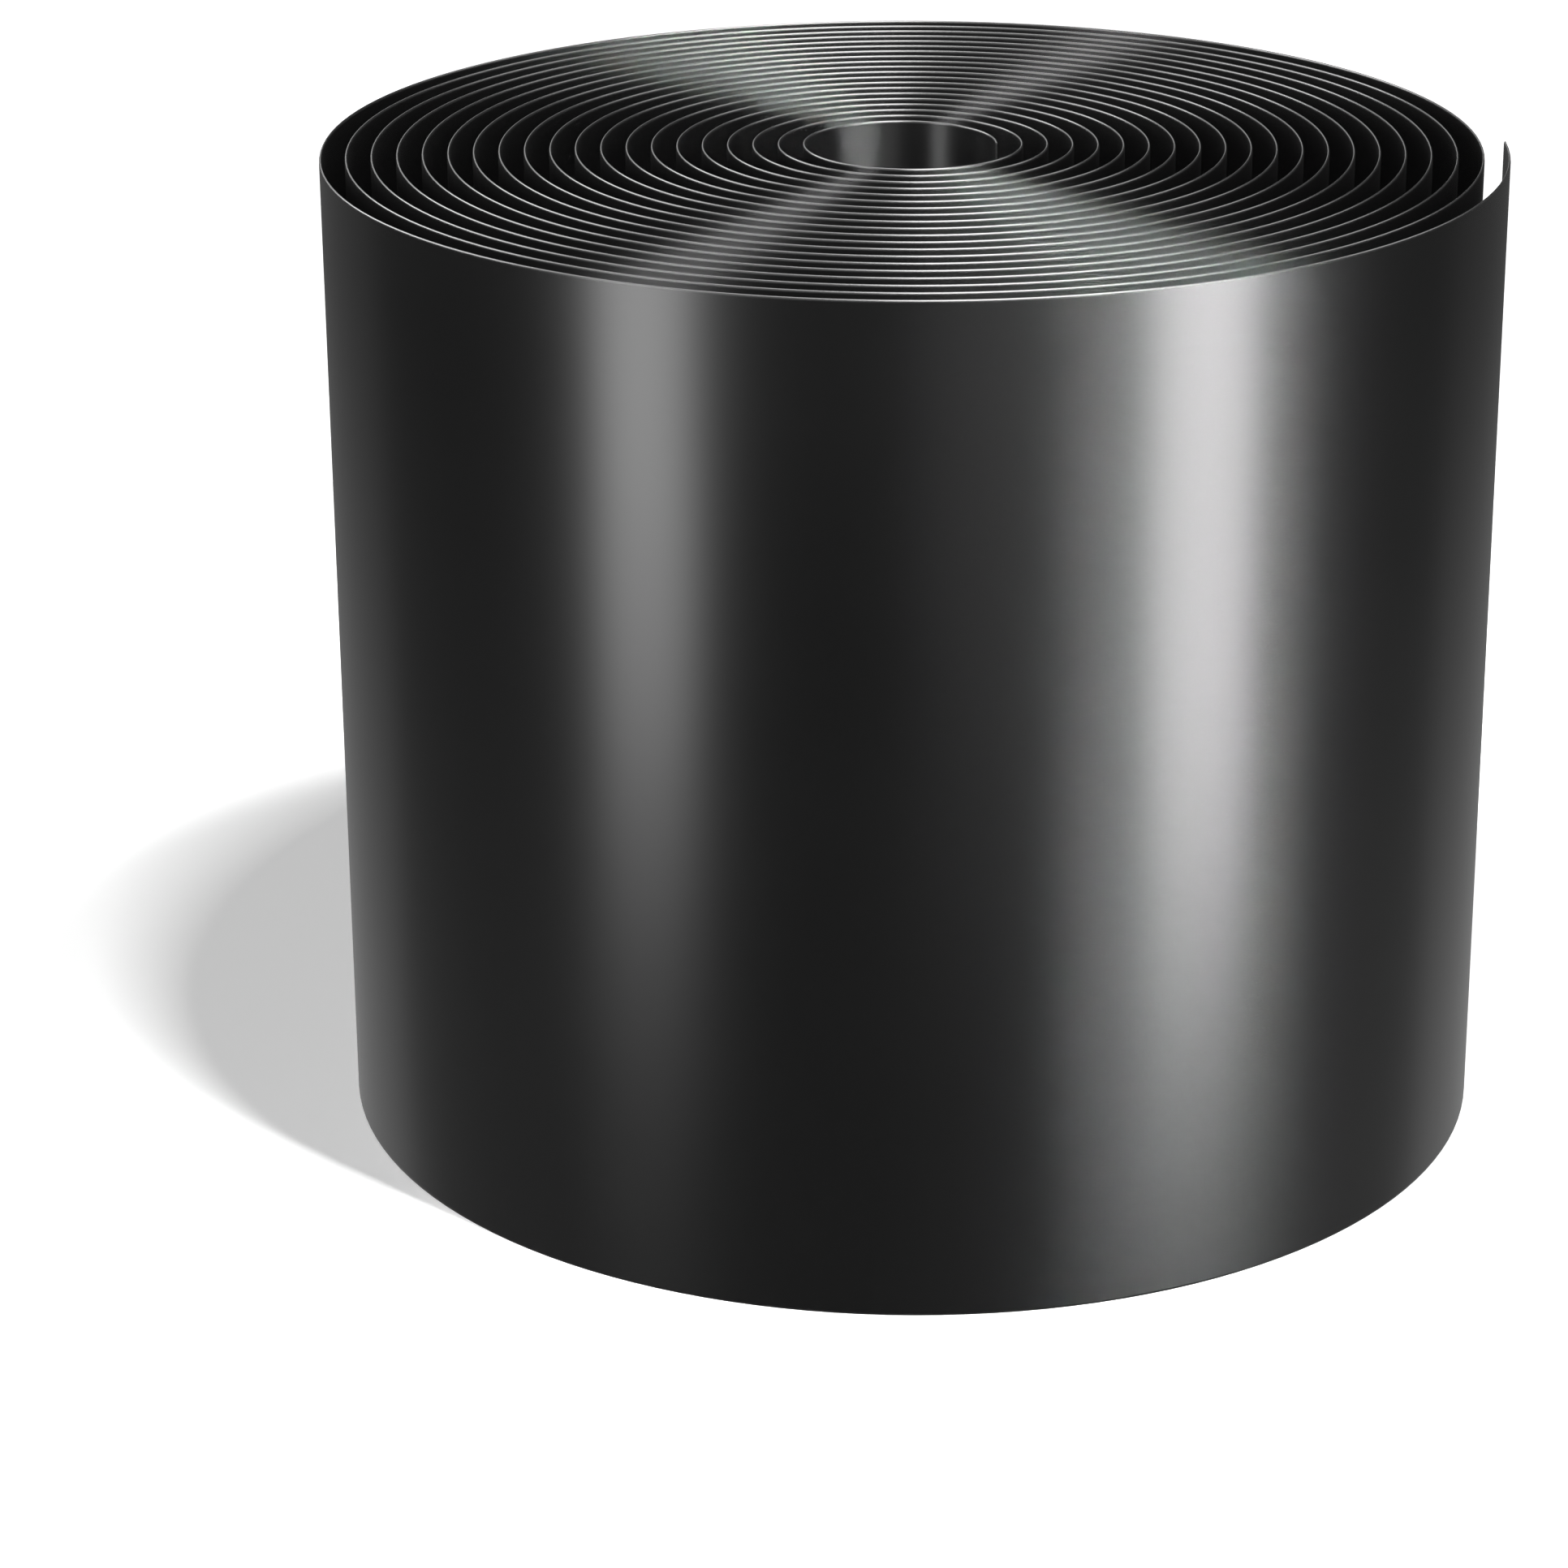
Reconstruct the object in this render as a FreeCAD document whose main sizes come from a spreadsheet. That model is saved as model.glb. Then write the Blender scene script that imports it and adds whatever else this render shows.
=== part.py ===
"""Steel landscape edging, sold as one long strip of thin coated sheet steel wound into an open coil.

The coil stands on the strip's lower edge, with its axis upright. It is one piece: no core, no band, no clip.
The turns don't touch. Sprung steel lies at an even pitch, so daylight shows between the turns at both ends,
and the last turn ends as a free tail that stands one gap off the turn inside it.

Frame, in millimetres: the origin is on the axis of the bore, level with the lower edge, with +Z up.
Both cut ends of the strip lie on the +X side, and the strip grows anticlockwise seen from above.
"""

import FreeCAD
import Part
import Sketcher

import math
import os

# The driving dimensions, all in millimetres apart from the count of turns.
SIZES = {
    "strip_height": 254.0,  # the sheet's width, which is the edging's height once it is laid
    "strip_thickness": 0.6,  # 24 gauge sheet with its coating
    "bore_diameter": 48.0,  # inside the first half turn, which was wound on the mandrel
    "turn_gap": 5.8,  # clear space between one turn and the next
    "turn_count": 20,  # whole turns, from the inner cut end to the outer one
}

START, END, CENTRE = 1, 2, 3  # how a sketch numbers the points of an arc or a line
X_AXIS = -1  # the sketch's own horizontal axis, whose START is the sketch's origin


def make_sheet(doc):
    """The spreadsheet that every size is read from."""
    sheet = doc.addObject("Spreadsheet::Sheet", "sizes")
    for row, (alias, value) in enumerate(SIZES.items(), start=1):
        sheet.set(f"A{row}", alias.replace("_", " "))
        sheet.set(f"B{row}", str(value))
        sheet.setAlias(f"B{row}", alias)
    doc.recompute()
    return sheet


def half_pitch(sheet):
    """How far each half turn steps outward from the one before it."""
    return (sheet.strip_thickness + sheet.turn_gap) / 2


def half_turn(centre_x, radius, is_front):
    """Half a circle that starts and ends on the X axis: over the back first, then round the front."""
    circle = Part.Circle(FreeCAD.Vector(centre_x, 0, 0), FreeCAD.Vector(0, 0, 1), radius)
    first_angle = math.pi if is_front else 0.0
    return Part.ArcOfCircle(circle, first_angle, first_angle + math.pi)


def draw_wall(sketch, sheet, first_radius):
    """One face of the strip, from the inner cut end to the outer one, as a chain of half turns.

    A spiral of even pitch is drawn from two centres. The back half turns share the origin, and the front
    half turns share a centre half a pitch along +X, so every arc runs tangent into the next.
    """
    arcs = []
    for step in range(2 * int(sheet.turn_count)):
        is_front = step % 2 == 1
        centre_x = half_pitch(sheet) if is_front else 0.0
        radius = first_radius + step * half_pitch(sheet)
        arcs.append(sketch.addGeometry(half_turn(centre_x, radius, is_front)))

    rules = [
        Sketcher.Constraint("Coincident", arcs[0], CENTRE, X_AXIS, START),
        Sketcher.Constraint("PointOnObject", arcs[0], START, X_AXIS),
        Sketcher.Constraint("PointOnObject", arcs[0], END, X_AXIS),
    ]
    for step, arc in enumerate(arcs[1:], start=1):
        rules.append(Sketcher.Constraint("Coincident", arc, START, arcs[step - 1], END))
        rules.append(Sketcher.Constraint("PointOnObject", arc, END, X_AXIS))
        if step > 1:
            rules.append(Sketcher.Constraint("Coincident", arc, CENTRE, arcs[step % 2], CENTRE))
    sketch.addConstraint(rules)
    return arcs


def close_end(sketch, inner_arc, outer_arc, end):
    """The square cut across the strip between its two faces."""
    points = [sketch.getPoint(arc, end) for arc in (inner_arc, outer_arc)]
    cut = sketch.addGeometry(Part.LineSegment(*points))
    sketch.addConstraint(Sketcher.Constraint("Coincident", cut, START, inner_arc, end))
    sketch.addConstraint(Sketcher.Constraint("Coincident", cut, END, outer_arc, end))


def bind(sketch, rule, name, expression):
    """Adds a dimension to the sketch and ties it to the sheet."""
    index = sketch.addConstraint(rule)
    sketch.renameConstraint(index, name)
    sketch.setExpression(f"Constraints.{name}", expression)


def wound_outline(body, sheet):
    """The strip seen from above, as one closed outline: inner face, outer cut, outer face, inner cut."""
    sketch = body.newObject("Sketcher::SketchObject", "wound_outline")
    floor_plane = next(plane for plane in body.Origin.OriginFeatures if plane.Role == "XY_Plane")
    sketch.AttachmentSupport = [(floor_plane, "")]
    sketch.MapMode = "FlatFace"

    bore_radius = sheet.bore_diameter / 2
    inner_face = draw_wall(sketch, sheet, bore_radius)
    outer_face = draw_wall(sketch, sheet, bore_radius + sheet.strip_thickness)
    sketch.addConstraint(Sketcher.Constraint("PointOnObject", inner_face[1], CENTRE, X_AXIS))
    sketch.addConstraint(Sketcher.Constraint("Coincident", outer_face[1], CENTRE, inner_face[1], CENTRE))
    close_end(sketch, inner_face[0], outer_face[0], START)
    close_end(sketch, inner_face[-1], outer_face[-1], END)

    # Each face has its first radius stated, and the rest follow from the distance between the two centres.
    inner_radius = Sketcher.Constraint("Radius", inner_face[0], bore_radius)
    bind(sketch, inner_radius, "inner_face_radius", "sizes.bore_diameter / 2")
    outer_radius = Sketcher.Constraint("Radius", outer_face[0], bore_radius + sheet.strip_thickness)
    bind(sketch, outer_radius, "outer_face_radius", "sizes.bore_diameter / 2 + sizes.strip_thickness")
    growth = Sketcher.Constraint("DistanceX", X_AXIS, START, inner_face[1], CENTRE, half_pitch(sheet))
    bind(sketch, growth, "half_pitch", "(sizes.strip_thickness + sizes.turn_gap) / 2")
    return sketch


def edging_strip(doc, sheet):
    """The whole coil: the wound outline, raised to the strip's height."""
    body = doc.addObject("PartDesign::Body", "edging_strip")
    body.Label = "edging_strip"
    outline = wound_outline(body, sheet)
    strip = body.newObject("PartDesign::Pad", "strip")
    strip.Profile = outline
    strip.setExpression("Length", "sizes.strip_height")
    body.Tip = strip
    return body


def wound_length(sheet):
    """The strip's length along its middle, which is what it measures once it is rolled out."""
    first_radius = (sheet.bore_diameter + sheet.strip_thickness) / 2
    half_turns = 2 * int(sheet.turn_count)
    return sum(math.pi * (first_radius + step * half_pitch(sheet)) for step in range(half_turns))


def check(doc, body, sheet):
    """Stops before anything is written if a feature failed or the strip isn't whole."""
    for thing in doc.Objects:
        if "Invalid" in thing.State or "Error" in thing.State:
            raise RuntimeError(f"{thing.Label} failed: {thing.State}")
    shape = body.Shape
    if shape.isNull() or not shape.isValid() or len(shape.Solids) != 1:
        raise RuntimeError(f"{body.Label} isn't one valid solid")
    expected = wound_length(sheet) * sheet.strip_thickness * sheet.strip_height
    if abs(shape.Volume - expected) > 1e-6 * expected:
        raise RuntimeError(f"{body.Label} holds {shape.Volume:.0f} mm3, and its sheet {expected:.0f} mm3")


doc = FreeCAD.newDocument("landscape_edging_coil")
sizes = make_sheet(doc)
coil = edging_strip(doc, sizes)
doc.recompute()
check(doc, coil, sizes)

os.makedirs("parts", exist_ok=True)
coil.Shape.exportStep(f"parts/{coil.Label}.step")
print(f"{coil.Label}: {wound_length(sizes) / 1000:.2f} m of strip, box {coil.Shape.BoundBox}")
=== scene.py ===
"""The looks of a coil of steel landscape edging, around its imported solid.

The strip is one mesh, swept along the same half turns as the solid, with the rounded edges and the soft
satin of a powder coat, which the solid leaves out. Everything is in metres, in the solid's own frame: the
origin is on the bore's axis at floor level, with +Z up and the strip's two cut ends on the +X side.
"""

import math

import bpy
from mathutils import Matrix, Quaternion, Vector


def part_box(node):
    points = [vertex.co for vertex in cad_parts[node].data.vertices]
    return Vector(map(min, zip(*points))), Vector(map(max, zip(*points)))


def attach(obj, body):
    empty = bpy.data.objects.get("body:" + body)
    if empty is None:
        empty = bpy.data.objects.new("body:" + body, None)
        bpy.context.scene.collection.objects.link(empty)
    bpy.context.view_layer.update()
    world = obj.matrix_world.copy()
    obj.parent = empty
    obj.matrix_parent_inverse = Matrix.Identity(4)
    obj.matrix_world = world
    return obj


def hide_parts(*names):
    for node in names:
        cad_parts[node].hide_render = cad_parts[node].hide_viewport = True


# The strip, as its solid has it.
NODE = "edging_strip"
STRIP_THICKNESS = 0.0006
TURN_GAP = 0.0058
BORE_DIAMETER = 0.048
TURN_COUNT = 20

# What the solid leaves out.
EDGE_ROUNDING = 0.00026  # the coat rounds both long edges over, by this much across the strip
EDGE_DROP = 0.0007  # and by this much down its wall
CUT_ROUNDING = 0.00015  # both cut ends are rounded over by this much
ROUNDING_STEPS = 4
STEPS_PER_HALF_TURN = 72
EDGE_ATTRIBUTE = "thin_coat"  # 1 at the crest of both long edges, fading to 0 where the walls begin
EDGE_GREY = 0.08  # the steel that gleams through there

# The powder coat. The noise scales are in waves per metre.
COAT_TONE = (0.0035, 0.0045)  # its grey drifts between these along the strip
COAT_ROUGHNESS = (0.25, 0.28)  # and so does its roughness
DRIFT_SCALE = 14.0
PEEL_SCALE = 1400.0
PEEL_STRENGTH = 0.05
PEEL_DEPTH = 0.00004

# The camera that the photograph was taken with, fitted to the rims, the walls and both cut ends.
CAMERA_PLACE = Vector((-0.0076, -1.1624, 0.5327))
CAMERA_TILT = 21.265  # degrees down
CAMERA_TURN = 1.128  # degrees to the left
CAMERA_ROLL = 0.406  # degrees clockwise
CAMERA_LENS = 107.67  # millimetres, as the sensor's width is
SENSOR_WIDTH = 36.0
CLIP_END = 100.0

# The key light: a short, narrow lamp, hung low so that the shadow at the left spreads. It lies along the
# shadow's front edge, which is crisp, and across the far edge, which is soft.
KEY_PLACE = Vector((0.029, -0.226, 0.872))
KEY_LENGTH = 0.127
KEY_WIDTH = 0.01
KEY_TURN = 134.0  # degrees from +X to its long side
KEY_LEVEL = 0.85  # what a white floor under it would show

SOFTBOX_DISTANCE = 1.5  # from the middle of the coil's top
CARD_DISTANCE = 1.8  # from the bore's axis
CARD_STEPS = 24
CARD_SHADE = (-0.75, -0.24)  # a card pales downward between these heights

FLOOR_PALE = 0.8
FLOOR_REACH = 30.0
PAINTED_GLOW_IN_POOL = 0.415  # the floor's painted glow within a pool round the coil's left side, where its shadow falls; it sets how pale that shadow shows
PAINTED_GLOW_POOL_CENTRE = (-0.09, 0.07, 0.0)
PAINTED_GLOW_POOL_EDGE = (0.15, 0.2)  # the painted glow rises to full white between these distances from the pool's centre, and beyond them paints over any shadow
AMBIENT = 0.15  # the world's own light on the coil and the floor


def heading(degrees):
    """The level direction at that angle from the camera's side of the coil, -Y, round towards +X."""
    angle = math.radians(degrees)
    return Vector((math.sin(angle), -math.cos(angle), 0))


def add_object(name, data):
    """A new object in the scene, for a mesh, a lamp or a camera."""
    thing = bpy.data.objects.new(name, data)
    bpy.context.scene.collection.objects.link(thing)
    return thing


def shader_nodes(owner):
    """The emptied node tree of a material or world, and a helper that adds a node with its inputs set."""
    owner.use_nodes = True
    tree = owner.node_tree
    tree.nodes.clear()

    def add(kind, **inputs):
        node = tree.nodes.new(kind)
        for name, value in inputs.items():
            socket = node.inputs[name.replace("_", " ")]
            if isinstance(value, bpy.types.NodeSocket):
                tree.links.new(value, socket)
            else:
                socket.default_value = value
        return node

    return tree, add


def seen_directly(tree):
    """1 for what the camera sees, also in a reflection or through glass, and 0 for other light."""
    rays = tree.nodes.new("ShaderNodeLightPath")
    seen = rays.outputs["Is Camera Ray"]
    for kind in ("Is Glossy Ray", "Is Transmission Ray"):
        either = tree.nodes.new("ShaderNodeMath")
        either.operation = "MAXIMUM"
        tree.links.new(seen, either.inputs[0])
        tree.links.new(rays.outputs[kind], either.inputs[1])
        seen = either.outputs[0]
    return seen


def coated_steel():
    """Satin black powder coat, with a fine orange peel, a gloss that drifts, and thin bright edges."""
    material = bpy.data.materials.new("coated_steel")
    tree, add = shader_nodes(material)
    place = add("ShaderNodeTexCoord").outputs["Object"]
    edge = add("ShaderNodeAttribute")
    edge.attribute_name = EDGE_ATTRIBUTE

    drift = add("ShaderNodeTexNoise", Vector=place, Scale=DRIFT_SCALE, Detail=3.0)
    gloss = add("ShaderNodeMapRange", Value=drift.outputs["Fac"])
    gloss.inputs["To Min"].default_value, gloss.inputs["To Max"].default_value = COAT_ROUGHNESS

    tone = add("ShaderNodeMapRange", Value=drift.outputs["Fac"])
    tone.inputs["To Min"].default_value, tone.inputs["To Max"].default_value = COAT_TONE
    colour = add("ShaderNodeMapRange", Value=edge.outputs["Fac"])
    tree.links.new(tone.outputs["Result"], colour.inputs["To Min"])
    colour.inputs["To Max"].default_value = EDGE_GREY

    peel = add("ShaderNodeTexNoise", Vector=place, Scale=PEEL_SCALE, Detail=2.0)
    bump = add("ShaderNodeBump", Height=peel.outputs["Fac"], Strength=PEEL_STRENGTH, Distance=PEEL_DEPTH)

    coat = add("ShaderNodeBsdfPrincipled", Base_Color=colour.outputs["Result"])
    tree.links.new(gloss.outputs["Result"], coat.inputs["Roughness"])
    tree.links.new(edge.outputs["Fac"], coat.inputs["Metallic"])
    tree.links.new(bump.outputs["Normal"], coat.inputs["Normal"])
    output = add("ShaderNodeOutputMaterial")
    tree.links.new(coat.outputs["BSDF"], output.inputs["Surface"])
    return material


def stations():
    """The places of the sections along the strip, as pairs of the middle and the outward direction."""
    pitch = STRIP_THICKNESS + TURN_GAP
    middles = []
    for half_turn in range(2 * TURN_COUNT):
        centre = Vector((pitch / 2 * (half_turn % 2), 0, 0))
        radius = (BORE_DIAMETER + STRIP_THICKNESS + half_turn * pitch) / 2
        is_last = half_turn == 2 * TURN_COUNT - 1
        for step in range(STEPS_PER_HALF_TURN + is_last):
            angle = math.pi * (half_turn + step / STEPS_PER_HALF_TURN)
            outward = Vector((math.cos(angle), math.sin(angle), 0))
            middles.append((centre + radius * outward, outward))
    return middles


def section(middle, outward, height, inset):
    """The strip's rounded outline at one station, drawn in by the inset."""
    half_thickness = STRIP_THICKNESS / 2 - inset
    rounding = EDGE_ROUNDING - inset
    drop = EDGE_DROP - inset
    points = []
    for corner in range(4):
        side = 1 if corner in (0, 3) else -1
        top = corner < 2
        level = height - inset - drop if top else inset + drop
        for step in range(ROUNDING_STEPS + 1):
            angle = math.pi / 2 * (corner + step / ROUNDING_STEPS)
            across = side * (half_thickness - rounding) + rounding * math.cos(angle)
            points.append(middle + across * outward + Vector((0, 0, level + drop * math.sin(angle))))
    return points


def strip_sections(height):
    """Every section from the inner cut end to the outer one, with both cut ends rounded over."""
    places = stations()
    sections = [section(middle, outward, height, 0.0) for middle, outward in places]
    for index, direction in ((0, 1), (-1, -1)):
        middle, outward = places[index]
        along = Vector((-outward.y, outward.x, 0)) * direction
        rounded = []
        for step in range(ROUNDING_STEPS):
            angle = math.pi / 2 * step / ROUNDING_STEPS
            depth = CUT_ROUNDING * (1 - math.sin(angle))
            inset = CUT_ROUNDING * (1 - math.cos(angle))
            rounded.append(section(middle + depth * along, outward, height, inset))
        if index == 0:
            sections = rounded[::-1] + sections[1:]
        else:
            sections = sections[:-1] + rounded
    return sections


def build_strip(material):
    """The strip as one closed mesh."""
    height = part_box(NODE)[1].z
    rings = strip_sections(height)
    count = len(rings[0])
    vertices = [point for ring in rings for point in ring]
    faces = []
    for ring in range(len(rings) - 1):
        near = ring * count
        far = near + count
        for point in range(count):
            following = (point + 1) % count
            faces.append((near + point, near + following, far + following, far + point))
    faces.append(tuple(range(count))[::-1])
    faces.append(tuple(range(len(vertices) - count, len(vertices))))

    mesh = bpy.data.meshes.new("finished_strip")
    mesh.from_pydata(vertices, [], faces)
    thin_coat = mesh.attributes.new(EDGE_ATTRIBUTE, "FLOAT", "POINT")
    for index, point in enumerate(vertices):
        depth = min(point.z, height - point.z)
        thin_coat.data[index].value = max(0.0, 1 - depth / EDGE_DROP)
    mesh.shade_smooth()
    mesh.materials.append(material)
    strip = add_object("finished_strip", mesh)
    normals = strip.modifiers.new("even_shading", "WEIGHTED_NORMAL")
    normals.weight = 100
    return strip


def build_floor():
    """A pale floor that carries the coil's shadow under a painted glow, which is full white away from a pool
    round the coil's left side and so paints over any shadow outside it. It isn't seen in the coat, and
    throws no shadow.
    """
    material = bpy.data.materials.new("pale_floor")
    tree, add = shader_nodes(material)
    pale = (FLOOR_PALE, FLOOR_PALE, FLOOR_PALE, 1)
    paint = add("ShaderNodeBsdfPrincipled", Base_Color=pale, Roughness=1.0)
    paint.inputs["Specular IOR Level"].default_value = 0.0
    # Painted light: the floor glows less in a pool round the coil's left side and full white beyond it,
    # which paints over any shadow outside the pool.
    distance = add("ShaderNodeVectorMath", Vector=add("ShaderNodeTexCoord").outputs["Object"])
    distance.operation = "DISTANCE"
    distance.inputs[1].default_value = PAINTED_GLOW_POOL_CENTRE
    brightness = add("ShaderNodeMapRange", Value=distance.outputs["Value"])
    brightness.interpolation_type = "SMOOTHSTEP"
    brightness.inputs["From Min"].default_value, brightness.inputs["From Max"].default_value = PAINTED_GLOW_POOL_EDGE
    brightness.inputs["To Min"].default_value = PAINTED_GLOW_IN_POOL
    brightness.inputs["To Max"].default_value = 1.0
    strength = add("ShaderNodeMath")
    strength.operation = "MULTIPLY"
    tree.links.new(seen_directly(tree), strength.inputs[0])
    tree.links.new(brightness.outputs["Result"], strength.inputs[1])
    glow = add("ShaderNodeEmission", Strength=strength.outputs[0])
    both = add("ShaderNodeAddShader")
    tree.links.new(paint.outputs["BSDF"], both.inputs[0])
    tree.links.new(glow.outputs["Emission"], both.inputs[1])
    output = add("ShaderNodeOutputMaterial")
    tree.links.new(both.outputs["Shader"], output.inputs["Surface"])

    mesh = bpy.data.meshes.new("floor")
    corners = [(x * FLOOR_REACH, y * FLOOR_REACH, 0) for x, y in ((-1, -1), (1, -1), (1, 1), (-1, 1))]
    mesh.from_pydata(corners, [], [(0, 1, 2, 3)])
    mesh.materials.append(material)
    floor = add_object("floor", mesh)
    floor.visible_glossy = False
    floor.visible_shadow = False


def build_world():
    """White where it is seen, and a soft grey for the light that it gives."""
    world = bpy.data.worlds.new("studio")
    bpy.context.scene.world = world
    tree, add = shader_nodes(world)
    strength = add("ShaderNodeMapRange", Value=seen_directly(tree))
    strength.inputs["To Min"].default_value = AMBIENT
    strength.inputs["To Max"].default_value = 1.0
    white = (1, 1, 1, 1)
    background = add("ShaderNodeBackground", Color=white, Strength=strength.outputs["Result"])
    output = add("ShaderNodeOutputWorld")
    tree.links.new(background.outputs["Background"], output.inputs["Surface"])


def towards(direction, rise):
    """The direction at that heading and that many degrees above level."""
    angle = math.radians(rise)
    return heading(direction) * math.cos(angle) + Vector((0, 0, math.sin(angle)))


def softbox(name, direction, rise, width, height, radiance, lean=0.0, reaches_in=False):
    """A softbox turned to the coil's top, which shows only as a gleam on the coat.

    It hangs at a heading and a rise in degrees, and measures width by height in metres. One that leans has
    its foot turned by that many degrees towards higher headings. One that reaches in casts no shadow, so it
    also gleams on the walls between the turns and on the wall of the bore.
    """
    lamp = bpy.data.lights.new(name, "AREA")
    lamp.shape = "RECTANGLE"
    lamp.size = width
    lamp.size_y = height
    lamp.energy = radiance * math.pi * width * height
    if reaches_in:
        lamp.use_shadow = False
        lamp.cycles.use_multiple_importance_sampling = False
    panel = add_object(name, lamp)
    away = towards(direction, rise)
    panel.location = Vector((0, 0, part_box(NODE)[1].z)) + away * SOFTBOX_DISTANCE
    upright = away.to_track_quat("Z", "Y")
    panel.rotation_euler = (upright @ Quaternion((0, 0, 1), math.radians(lean))).to_euler()
    panel.visible_diffuse = False
    panel.visible_camera = False


def card(name, first, last, low, high, head_level, foot_level):
    """A curved upright card that the coat mirrors as a darker patch.

    It reaches from one heading to another and from a low height to a high one, and has one brightness at its
    head and another at its foot.
    """
    material = bpy.data.materials.new(name)
    material.cycles.emission_sampling = "NONE"
    tree, add = shader_nodes(material)
    place = add("ShaderNodeTexCoord").outputs["Object"]
    level = add("ShaderNodeSeparateXYZ", Vector=place).outputs["Z"]
    shade = add("ShaderNodeMapRange", Value=level)
    shade.inputs["From Min"].default_value, shade.inputs["From Max"].default_value = CARD_SHADE
    shade.inputs["To Min"].default_value = foot_level
    shade.inputs["To Max"].default_value = head_level
    grey = add("ShaderNodeEmission", Strength=shade.outputs["Result"])
    output = add("ShaderNodeOutputMaterial")
    tree.links.new(grey.outputs["Emission"], output.inputs["Surface"])

    vertices = []
    for step in range(CARD_STEPS + 1):
        spot = heading(first + (last - first) * step / CARD_STEPS) * CARD_DISTANCE
        vertices += [spot + Vector((0, 0, low)), spot + Vector((0, 0, high))]
    faces = [(2 * step, 2 * step + 2, 2 * step + 3, 2 * step + 1) for step in range(CARD_STEPS)]
    mesh = bpy.data.meshes.new(name)
    mesh.from_pydata(vertices, [], faces)
    mesh.materials.append(material)
    board = add_object(name, mesh)
    board.visible_camera = False
    board.visible_diffuse = False
    board.visible_transmission = False
    board.visible_shadow = False


def build_lights():
    """The key light, and the softboxes and cards that the coat mirrors."""
    key = bpy.data.lights.new("key", "AREA")
    key.shape = "RECTANGLE"
    key.size = KEY_LENGTH
    key.size_y = KEY_WIDTH
    key.energy = KEY_LEVEL * (math.pi * KEY_PLACE.z) ** 2
    lamp = add_object("key", key)
    lamp.location = KEY_PLACE
    lamp.rotation_euler.z = math.radians(KEY_TURN)
    lamp.visible_glossy = False

    # Upright softboxes for the two bands of light down the wall, and the wider glow round each.
    softbox("right_strip", 51.8, 3.8, 0.55, 1.72, 14.8, lean=4.5)
    softbox("left_strip", -49.5, 2.4, 0.48, 1.38, 5.8)
    softbox("right_glow", 50.3, 0.3, 1.25, 1.85, 3.7, lean=4.5, reaches_in=True)
    softbox("left_glow", -49.5, 2.4, 0.48, 1.38, 2.7, reaches_in=True)
    softbox("front_fill", 16.0, 4.0, 0.8, 1.45, 0.5, reaches_in=True)

    # Raised softboxes for the edges of the turns.
    softbox("front_gleam", 19.0, 38.0, 1.1, 1.3, 21.0)
    softbox("left_gleam", -108.0, 22.0, 1.5, 0.75, 9.0)
    softbox("left_raised_gleam", -80.0, 45.0, 1.0, 0.9, 3.5)
    softbox("right_gleam", 104.0, 33.0, 0.9, 0.9, 3.5)
    softbox("overhead", 0.0, 90.0, 1.6, 1.6, 6.0)

    # Dark cards, mostly below the level of the coil's top, for the dark middle and sides of the wall.
    card("front_card", -75.0, 75.0, -6.0, 0.35, 0.04, 0.13)
    card("left_card", -120.0, -75.0, -6.0, 0.45, 0.05, 0.22)
    card("right_card", 75.0, 120.0, -6.0, 0.45, 0.05, 0.23)
    card("left_back_card", -188.0, -120.0, -0.95, 0.2, 0.12, 0.45)
    card("right_back_card", 120.0, 176.5, -0.95, 1.3, 0.1, 0.45)


def build_camera():
    """The photograph's own camera."""
    camera = bpy.data.cameras.new("camera")
    camera.sensor_width = SENSOR_WIDTH
    camera.lens = CAMERA_LENS
    camera.clip_end = CLIP_END
    stand = add_object("camera", camera)
    turn = Matrix.Rotation(math.radians(CAMERA_TURN), 4, "Z")
    tilt = Matrix.Rotation(math.radians(90 - CAMERA_TILT), 4, "X")
    roll = Matrix.Rotation(math.radians(-CAMERA_ROLL), 4, "Z")
    stand.matrix_world = Matrix.Translation(CAMERA_PLACE) @ turn @ tilt @ roll
    bpy.context.scene.camera = stand


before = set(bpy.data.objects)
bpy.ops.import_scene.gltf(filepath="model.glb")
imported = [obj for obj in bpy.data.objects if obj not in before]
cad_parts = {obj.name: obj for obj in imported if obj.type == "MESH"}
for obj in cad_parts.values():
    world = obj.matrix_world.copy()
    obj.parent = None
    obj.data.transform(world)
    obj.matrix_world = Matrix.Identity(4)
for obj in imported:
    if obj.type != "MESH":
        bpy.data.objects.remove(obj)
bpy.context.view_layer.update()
bpy.context.scene.view_settings.view_transform = "Standard"

strip = build_strip(coated_steel())
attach(strip, "root")
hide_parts(NODE)

build_floor()
build_world()
build_lights()
build_camera()
